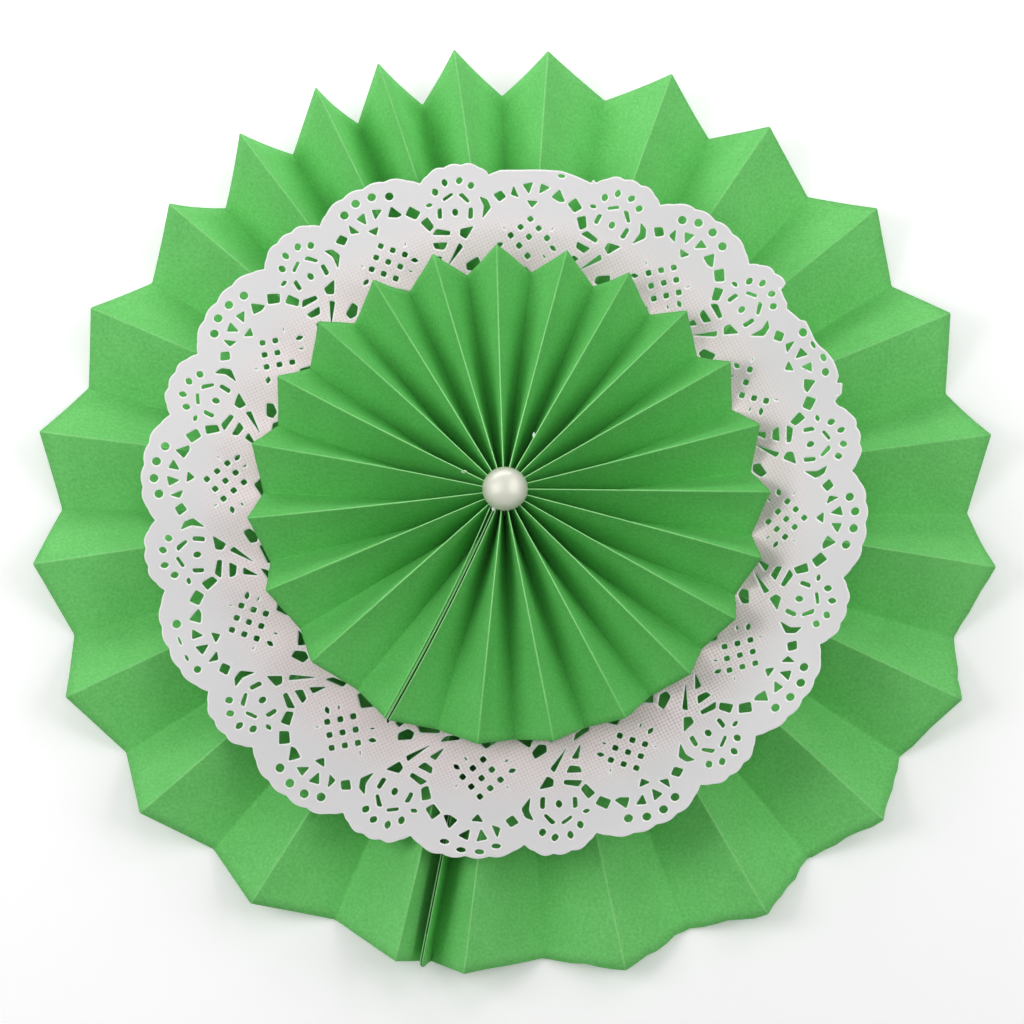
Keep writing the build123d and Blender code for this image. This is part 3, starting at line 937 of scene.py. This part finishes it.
def edge_radius(degrees):
    """Distance of the edge: the radius less a cubic dip to each cusp, less small scallops."""
    radius = np.full(np.shape(degrees), LACE_RADIUS - CUSP_DEPTH)
    repeat = 360 / LACE_REPEATS
    for centre, half, inset, fine in (FAN_LOBE, ROSE_LOBE):
        away = (degrees - centre + repeat / 2) % repeat - repeat / 2
        part = away / half
        ripple = FINE_LOBE_DEPTH * (1 - np.abs(np.cos(np.pi * fine * (part + 1) / 2)))
        arc = LACE_RADIUS - inset - (CUSP_DEPTH - inset) * np.abs(part) ** 3
        arc -= ripple * (1 - np.abs(part) ** 3)
        radius = np.where(np.abs(part) < 1, arc, radius)
    for torn in TORN_EDGES:
        where, inset = np.transpose(torn)
        away = (degrees + 180) % 360 - 180
        cut = np.interp(away, where, inset, left=0, right=0)
        radius = np.minimum(radius, LACE_RADIUS - cut)
    away = (degrees - EDGE_TUCK_AT + 180) % 360 - 180
    return radius - EDGE_TUCK * np.exp(-((away / EDGE_TUCK_SPREAD) ** 2))


edge_angles = np.arange(0, 360, 0.25)
outline = polar(edge_radius(edge_angles), edge_angles)[:, :2]
reach = np.hypot(*outline.T)
print("edge of the doily in mm:", reach.min().round(1), "to", reach.max().round(1))

# %% [markdown]
# ### In the sheet or in a hole
# To fill the sheet with triangles, two questions have to be answered for any point: does it lie in
# a hole, and does it lie within the edge.


# %% Two tests for points
def inside_holes(points):
    """Which points lie in a hole, by counting how often a ray to the right crosses its loop."""
    found = np.zeros(len(points), bool)
    for hole in holes:
        middle = hole.mean(axis=0)
        reach = np.abs(hole - middle).max() * 1.5
        close = np.flatnonzero((np.abs(points - middle) < reach).all(axis=1))
        x, y = points[close].T[:, :, None]
        ax, ay = hole.T[:, None, :]
        bx, by = np.roll(hole, -1, axis=0).T[:, None, :]
        spans = (ay > y) != (by > y)
        rise = np.where(by == ay, 1, by - ay)
        crosses = spans & (x < ax + (y - ay) * (bx - ax) / rise)
        found[close] |= crosses.sum(axis=1) % 2 == 1
    return found


def inside_edge(points, margin=0.0):
    """Which points lie within the scalloped edge, less a margin in mm."""
    angle = np.degrees(np.arctan2(points[:, 1], points[:, 0]))
    return np.hypot(*points.T) < edge_radius(angle) - margin


print("the middle of the doily lies within its edge:", inside_edge(np.zeros((1, 2)))[0])

# %% [markdown]
# ### Filling the sheet
# Blender can fill flat outlines that have holes with triangles, and it also takes loose points
# between them, so that the sheet can bend over the pleats. Cutting hundreds of holes out of a
# solid sheet would take far longer and leave ragged edges. Round each hole runs a second loop a
# little further out, so that the pressed rim and its painted highlight have points of their own.

# %% Loops round the holes
RIM_WIDTH = 0.7
HOLE_STEP = 0.7


def dense(loop, step):
    """A loop with points added along its sides, so that no side is longer than the step."""
    ahead = np.roll(loop, -1, axis=0) - loop
    pieces = np.ceil(np.linalg.norm(ahead, axis=1) / step).astype(int)
    side = np.repeat(np.arange(len(loop)), pieces)
    place = np.arange(pieces.sum()) - np.repeat(np.cumsum(pieces) - pieces, pieces)
    return loop[side] + ahead[side] * (place / pieces[side])[:, None]


def grown(loop, by):
    """A loop moved outwards by a fixed distance, square to the line through both neighbours."""
    before, after = np.roll(loop, 1, axis=0), np.roll(loop, -1, axis=0)
    along = unit(after - before)
    turns_left = np.sign((loop[:, 0] * after[:, 1] - loop[:, 1] * after[:, 0]).sum())
    return loop + np.column_stack([along[:, 1], -along[:, 0]]) * by * turns_left


holes = [dense(hole, HOLE_STEP) for hole in holes]
rims = np.concatenate([grown(hole, RIM_WIDTH) for hole in holes])
inner_edge = outline * (1 - RIM_WIDTH / np.linalg.norm(outline, axis=1, keepdims=True))
print("points round the holes:", sum(map(len, holes)), "and as many in the second loops")

# %% [markdown]
# A loose grid fills the rest, with fewer points in the flat middle. Triangles whose middle lies in
# a hole or outside the edge are dropped.

# %% Triangles of the doily
GRID_PITCH = 2.4
GRID_HALF = 114
FLAT_RADIUS = 62.0
FLAT_SHARE = 7
SAME_POINT_MM = 1e-5
lines = np.arange(-GRID_HALF, GRID_HALF + 1, GRID_PITCH)
grid = np.stack(np.meshgrid(lines, lines), -1)
grid[::2, :, 0] += GRID_PITCH / 2
grid = grid.reshape(-1, 2)
bends = np.hypot(*grid.T) > FLAT_RADIUS
grid = grid[bends | (np.arange(len(grid)) % FLAT_SHARE == 0)]
loose = np.concatenate([rims, inner_edge, grid])
kept = ~inside_holes(loose) & inside_edge(loose, RIM_WIDTH * 0.8)
loose = loose[kept]
fixed = np.concatenate([outline, *holes])
sizes = [len(outline)] + [len(hole) for hole in holes]
starts = np.concatenate([[0], np.cumsum(sizes)])
loops = [
    np.stack([np.arange(a, b), np.roll(np.arange(a, b), -1)], 1)
    for a, b in zip(starts, starts[1:])
]
flat_points = np.concatenate([fixed, loose])
triangulated = delaunay_2d_cdt(
    flat_points.tolist(), np.concatenate(loops).tolist(), [], 0, SAME_POINT_MM, False
)
sheet = np.array([tuple(v) for v in triangulated[0]])
triangles = np.array([tuple(f) for f in triangulated[2] if len(f) == 3])
middles = sheet[triangles].mean(axis=1)
triangles = triangles[inside_edge(middles) & ~inside_holes(middles)]
print("doily triangles on one side:", len(triangles))

# %% [markdown]
# ### Laying it over the pleats
# The small ring holds the middle of the doily flat. Outside it the paper does what it likes: at
# the lower left it has sunk on to the large pleats, and at the right it curls up by more than a
# centimetre. Each fan therefore gets two heights, one at its foot and one near its edge. A sheet
# that curls up also comes in a little, here by a sixth of its rise.

# %% Sag and curl
FAN_LIFT = (
    (5.5, 13.5), (4.0, 8.5), (5.0, 6.5), (2.5, 3.5), (-2.0, -2.0), (-1.0, 0.0),
    (-5.0, -5.0), (-7.0, -8.0), (-2.5, -1.5), (-1.5, 3.0), (3.5, 10.0), (7.5, 15.0),
)
LIFT_FOOT = 91.0
LIFT_EDGE = 110.0
RISE_START = 77.0
SINK_START = 60.0
DRAWN_IN = 0.17


def drape(points):
    """Height in mm over the flat sheet.

    Round the doily the two heights of a fan blend into those of the next by half a cosine wave.
    Outwards the sheet leaves the flat middle level, rises or sinks to the first height at the
    foot of the fan by a cubic with the right slope there, and goes on straight to the second.
    """
    radius = np.hypot(*points.T)
    place = np.degrees(np.arctan2(points[:, 1], points[:, 0])) % 360 / (360 / LACE_REPEATS)
    number = np.floor(place).astype(int)
    blend = (0.5 - 0.5 * np.cos(np.pi * (place - number)))[:, None]
    this, following = (np.array(FAN_LIFT)[(number + step) % LACE_REPEATS] for step in (0, 1))
    foot, edge = (this * (1 - blend) + following * blend).T
    start = np.where(foot > 0, RISE_START, SINK_START)
    slope = (edge - foot) / (LIFT_EDGE - LIFT_FOOT)
    t = np.clip((radius - start) / (LIFT_FOOT - start), 0, 1)
    near = foot * (3 * t**2 - 2 * t**3) + slope * (LIFT_FOOT - start) * (t**3 - t**2)
    return near + slope * np.maximum(radius - LIFT_FOOT, 0)


lift = drape(sheet)
print("the sheet lies from", lift.min().round(1), "to", lift.max().round(1), "mm over the middle")

# %% [markdown]
# ### The sheet gets its thickness
# The front and the back are the same triangles, a fifth of a millimetre apart, and each side of a
# triangle that has no neighbour gets a wall. The stamp pushes the rims of the holes up a little.

# %% Front, back and walls
LACE_CENTRE = (-2.8, -4.5)
LACE_BOTTOM = 26.25
LACE_TURN = 25.2
LACE_THICKNESS = 0.22
RIM_PUSH = 0.03


def open_sides(faces):
    """Sides of triangles that no other triangle shares, each with the sheet on its left."""
    sides = np.concatenate([faces[:, [0, 1]], faces[:, [1, 2]], faces[:, [2, 0]]])
    _, index, count = np.unique(
        np.sort(sides, axis=1), axis=0, return_index=True, return_counts=True
    )
    return sides[index[count == 1]]


first, second, third = sheet[triangles.T]
area = np.cross(second - first, third - first)
triangles = np.where(area[:, None] > 0, triangles, triangles[:, ::-1])
walls = open_sides(triangles)
on_rim = np.zeros(len(sheet))
on_rim[walls.ravel()] = 1.0
drawn_in = 1 - DRAWN_IN * np.maximum(lift, 0) / LACE_RADIUS
placed = turned(sheet * drawn_in[:, None], LACE_TURN) + np.array(LACE_CENTRE)
height = LACE_BOTTOM + LACE_THICKNESS / 2 + lift + RIM_PUSH * on_rim
top = np.column_stack([placed, height + LACE_THICKNESS / 2])
bottom = np.column_stack([placed, height - LACE_THICKNESS / 2])
count = len(sheet)
start, end = walls.T
wall_quads = np.column_stack([start, start + count, end + count, end])
lace_faces = triangles.tolist() + (triangles[:, ::-1] + count).tolist() + wall_quads.tolist()
is_wall = np.arange(len(lace_faces)) >= 2 * len(triangles)
lace = make_mesh(
    "stamped_doily", np.concatenate([top, bottom]), lace_faces, [lace_paper], smooth=~is_wall
)
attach(lace, "root")
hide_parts("lace_doily")

# %% [markdown]
# ### Where the dots are strongest
# The dots cover only the inner part of the lace, and at the lower right they are stronger, both
# in relief and in the shade painted in their pits.
# Their grid is kept as flat coordinates, measured in dots.

# %% Numbers for the lace material
FIELD_RADIUS = 97.0
FIELD_FADE = 18.0
DOT_DEPTH = 0.42
# Extra strength of the dots at the lower right, in relief and in painted pit shade.
DOT_BOOST = 0.4
DOT_BOOST_AT = 287.0
DOT_BOOST_SPREAD = 24.0
# The inner zone is where the dots lie and where the paper is painted brighter and pinker.
inner_zone = np.clip((FIELD_RADIUS - np.hypot(*sheet.T)) / FIELD_FADE, 0, 1)
away = (np.degrees(np.arctan2(sheet[:, 1], sheet[:, 0])) - DOT_BOOST_AT + 180) % 360 - 180
strike = DOT_DEPTH + DOT_BOOST * np.exp(-((away / DOT_BOOST_SPREAD) ** 2))
relief = np.clip(inner_zone * 2, 0, 1) * strike
for key, value in (("rim", on_rim), ("inner_zone", inner_zone), ("relief", relief)):
    add_value(lace, key, np.concatenate([value, value]))
layer = lace.data.uv_layers.new(name="emboss_grid")
corner_points = np.zeros(len(lace.data.loops), np.int32)
lace.data.loops.foreach_get("vertex_index", corner_points)
grid = sheet / EMBOSS_PITCH
layer.data.foreach_set("uv", np.concatenate([grid, grid])[corner_points].ravel())
print("share of the lace with dots:", (relief > 0).mean().round(2))

# %% [markdown]
# ## Pearl
# The half pearl is moulded plastic under several coats of pearl lacquer. The lacquer scatters
# light just under a clear skin, so it looks milky, with soft reflections of two windows. The dome
# is a profile turned round an axis: an arc through its top and its edge, over a bevelled foot.

# %% Turn the pearl
PEARL_CENTRE = (-3.0, -5.7)
PEARL_BASE = 43.375
PEARL_RADIUS = 7.0
PEARL_HEIGHT = 6.5
PEARL_EDGE = 0.8
PEARL_BEVEL = (0.2, 0.25)

lacquer = {"Metallic": 0.15, "Roughness": 0.4, "IOR": 1.6}
clear_skin = {"Coat Weight": 1.0, "Coat IOR": 1.6, "Coat Roughness": 0.3}
pearl_coat, _, _ = new_material("pearl_lacquer", "DCDCCC", lacquer | clear_skin)


def lathe(name, profile, centre, base, material, turns=72):
    """A closed solid from a profile of distance and height, turned once round.

    The profile runs from the middle of the top to the middle of the underside.
    """
    profile = np.asarray(profile, float)
    ring = np.linspace(0, 360, turns, endpoint=False)
    body = polar(profile[1:-1, 0, None], ring[None], profile[1:-1, 1, None]).reshape(-1, 3)
    ends = np.array([[0, 0, profile[0, 1]], [0, 0, profile[-1, 1]]])
    points = np.concatenate([body, ends]) + np.array([*centre, base])
    rows = len(profile) - 2
    number = np.arange(rows * turns).reshape(rows, turns)
    following = np.roll(number, -1, axis=1)
    quads = np.stack([number[:-1], number[1:], following[1:], following[:-1]], -1).reshape(-1, 4)
    tip, foot = rows * turns, rows * turns + 1
    cap = np.column_stack([np.full(turns, tip), number[0], following[0]])
    sole = np.column_stack([np.full(turns, foot), following[-1], number[-1]])
    piece = make_mesh(name, points, cap.tolist() + quads.tolist() + sole.tolist(), [material])
    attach(piece, "root")
    return piece


rise = PEARL_HEIGHT - PEARL_EDGE
arc_radius = (PEARL_RADIUS**2 + rise**2) / (2 * rise)
tilt = np.linspace(0, np.arcsin(PEARL_RADIUS / arc_radius), 30)
dome = arc_radius * np.column_stack([np.sin(tilt), np.cos(tilt) - 1]) + [0, PEARL_HEIGHT]
foot = [[PEARL_RADIUS, PEARL_BEVEL[1]], [PEARL_RADIUS - PEARL_BEVEL[0], 0.0], [0.0, 0.0]]
pearl_profile = np.concatenate([dome, foot])
pearl = lathe("half_pearl", pearl_profile, PEARL_CENTRE, PEARL_BASE, pearl_coat)
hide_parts("pearl_cabochon")

# %% [markdown]
# ## Glue
# Hot glue sets milky and a little glossy. A drop of it has oozed out beside the pearl, and two
# flecks cling to the folds. The glue in the seams is painted a deep green, as painted shade for the
# narrow slits it fills. At the small seam it is a strip that swings with the paper.

# %% Drops and flecks
hot_glue, _, _ = new_material(
    "hot_glue_set", "EEF1E8", {"Roughness": 0.35, "Coat Weight": 0.3, "Subsurface Weight": 0.1}
)
# The seam glue is dark green, as painted shade for the deep slits it fills.
seam_glue, _, _ = new_material(
    "seam_glue_painted_dark_as_shade", "123A16", {"Roughness": 0.9, "Specular IOR Level": 0.0}
)
DROP_WAVE = 0.18
DROP_TURNS = 3
GLUE_DEPTH = (0.5, 3.5)
GLUE_CLEARANCE = 0.02


def drop(name, place, sizes, seed):
    """A lumpy ellipsoid: a ball of unit radius times 1 + DROP_WAVE * three sines, times sizes."""
    wobble = np.random.default_rng(seed).uniform(0, 6, 3)
    tilt = np.linspace(0, np.pi, 14)
    profile = np.column_stack([np.sin(tilt), np.cos(tilt)])
    piece = lathe(name, profile, (0, 0), 0, hot_glue, 20)
    ball = np.empty(len(piece.data.vertices) * 3, np.float32)
    piece.data.vertices.foreach_get("co", ball)
    ball = ball.reshape(-1, 3) / MM
    bulge = 1 + DROP_WAVE * np.sin(ball * DROP_TURNS + wobble).sum(axis=1, keepdims=True)
    moved = (ball * bulge * np.array(sizes) + np.array(place)) * MM
    piece.data.vertices.foreach_set("co", moved.astype(np.float32).ravel())
    piece.data.update()
    return piece


drop("glue_drop_at_pearl", (-6.4, -12.0, 43.0), (0.65, 0.5, 0.5), 1)
drop("glue_fleck_top", (5.9, 12.2, 41.9), (0.5, 1.2, 0.35), 2)
drop("glue_fleck_left", (-15.7, 0.5, 41.6), (1.0, 0.6, 0.35), 3)
finish_solid("large_hub_glue", hot_glue)
finish_solid("small_hub_glue", hot_glue)
finish_solid("large_seam_glue", seam_glue)
# A dark sheet down the small seam's slit: glue painted dark as shade.
glue_points = seam_sheet(
    small_seam_ends.mean(axis=1), lambda v: 0.0, GLUE_DEPTH[0], lambda v: GLUE_DEPTH[1]
)
small_seam = two_sided(
    "small_ring_seam_glue", glue_points, {}, SMALL_CENTRE, SMALL_BASE, seam_glue,
    SEAM_GAP - GLUE_CLEARANCE, seam_glue,
)
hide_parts("small_seam_glue")

# %% [markdown]
# ## Backing card
# A disc of white card closes the hub at the back, and is where tape or a hook would go. Card has
# a faint cloudy fibre pattern and no gloss.

# %% Card
FIBRE_MM = 1.2
card, tree, shader = new_material("white_card", "E6E1D6", {"Roughness": 0.85})
fibres = add_node(
    tree,
    "ShaderNodeTexNoise",
    values={"Scale": 1 / (FIBRE_MM * MM), "Detail": 5.0},
    links={"Vector": add_node(tree, "ShaderNodeTexCoord").outputs["Object"]},
)
bump = add_node(
    tree,
    "ShaderNodeBump",
    values={"Strength": 0.3, "Distance": 0.05 * MM},
    links={"Height": fibres.outputs["Fac"]},
)
tree.links.new(bump.outputs["Normal"], shader.inputs["Normal"])
finish_solid("backing_disc", card)
print("card on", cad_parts["backing_disc"].name)

# %% [markdown]
# ## Table and room
# The rosette lies on a white table that comes out pure white in the picture. Lamps strong enough
# for that would bleach the paper, so the table and the room are brighter for rays that show them
# than for rays that light something else.

# %% White all round
bpy.context.scene.view_settings.view_transform = "Standard"
FLOOR_HALF = 2500.0
FLOOR_DROP = 0.05
FLOOR_LIFT = 0.18
ROOM_LIGHT = 0.175


def seen_rays(tree):
    """One for rays that show a thing: from the camera, off a glossy face or through glass."""
    rays = add_node(tree, "ShaderNodeLightPath").outputs
    largest = rays["Is Camera Ray"]
    for kind in ("Is Glossy Ray", "Is Transmission Ray"):
        links = {0: largest, 1: rays[kind]}
        largest = add_node(tree, "ShaderNodeMath", {"operation": "MAXIMUM"}, links=links).outputs[0]
    return largest


floor_white, tree, shader = new_material("table_white", "FFFFFF", {"Roughness": 0.9})
lift = add_node(
    tree, "ShaderNodeMath", {"operation": "MULTIPLY"}, {1: FLOOR_LIFT}, {0: seen_rays(tree)}
).outputs[0]
shader.inputs["Emission Color"].default_value = (1, 1, 1, 1)
tree.links.new(lift, shader.inputs["Emission Strength"])
corners = np.array([(-1, -1, -1), (1, -1, -1), (1, 1, -1), (-1, 1, -1)])
floor_points = corners * [FLOOR_HALF, FLOOR_HALF, FLOOR_DROP]
floor = make_mesh("table", floor_points, [(0, 1, 2, 3)], [floor_white])

world = bpy.data.worlds.new("soft_room")
bpy.context.scene.world = world
world.use_nodes = True
tree = world.node_tree
background = tree.nodes["Background"]
background.inputs["Color"].default_value = (1, 1, 1, 1)
seen = seen_rays(tree)
level = add_node(
    tree, "ShaderNodeMapRange", {}, {"To Min": ROOM_LIGHT, "To Max": 1.0}, {"Value": seen}
)
tree.links.new(level.outputs["Result"], background.inputs["Strength"])
print("the table is", 2 * FLOOR_HALF, "mm wide")

# %% [markdown]
# ## Lamps
# A low strip beyond the upper edge grazes the pleats, and its light falls off towards the lower
# edge. A small box over the top and one at the upper right brighten the pleats there, a box in
# front fills the shadows, and one on either side models the folds. Most boxes would glare in the
# glossy pearl, so they don't show in reflections. It mirrors two windows instead, which light
# nothing else.

# %% Place the lamps
def soft_box(name, place, aim, size, watts):
    """A rectangular lamp at a place in mm that faces a point in mm."""
    data = bpy.data.lights.new(name, "AREA")
    data.shape, data.size, data.size_y = "RECTANGLE", size[0] * MM, size[1] * MM
    data.energy = watts
    lamp = bpy.data.objects.new(name, data)
    lamp.location = np.array(place) * MM
    direction = Vector(np.subtract(aim, place))
    lamp.rotation_euler = direction.to_track_quat("-Z", "Y").to_euler()
    bpy.context.scene.collection.objects.link(lamp)
    return lamp


LAMPS = (
    ("low_upper_strip", (-100, 430, 160), (0, 60, 0), (600, 120), 0.81, True),
    ("top_soft_box", (-30, 170, 450), (-10, 150, 0), (260, 260), 0.20, False),
    ("upper_right_soft_box", (380, 300, 400), (0, 60, 0), (300, 300), 0.445, True),
    ("front_soft_box", (0, -350, 1100), (0, 0, 0), (400, 300), 1.25, False),
    ("left_soft_box", (-600, -60, 560), (0, 0, 0), (420, 500), 2.35, False),
    ("right_soft_box", (600, -60, 560), (0, 0, 0), (420, 500), 1.53, False),
)
for *lamp, shows_in_pearl in LAMPS:
    soft_box(*lamp).visible_glossy = shows_in_pearl
for side, name in ((-1, "left_window"), (1, "right_window")):
    window = soft_box(name, (side * 620, -40, 700), (0, 0, 0), (760, 900), 2.6)
    window.visible_diffuse = False
print("lamps:", len(bpy.data.lights))

# %% [markdown]
# ## Camera
# The photograph was taken from 1.22 m away, 17.4 degrees below the straight view, with a long
# lens. These numbers were fitted to the folds.

# %% Camera
TILT = 17.4
DISTANCE = 1219.0
TARGET = np.array([-0.86, 0.36, LARGE_BASE])
camera_data = bpy.data.cameras.new("camera")
camera_data.sensor_width = 36.0
camera_data.lens = 134.75
camera_data.clip_end = 20.0
camera = bpy.data.objects.new("camera", camera_data)
back = np.array([0, -np.sin(np.radians(TILT)), np.cos(np.radians(TILT))])
camera.location = (TARGET + DISTANCE * back) * MM
camera.rotation_euler = (np.radians(TILT), 0, 0)
bpy.context.scene.collection.objects.link(camera)
bpy.context.scene.camera = camera
print("camera at", [round(value, 3) for value in camera.location])
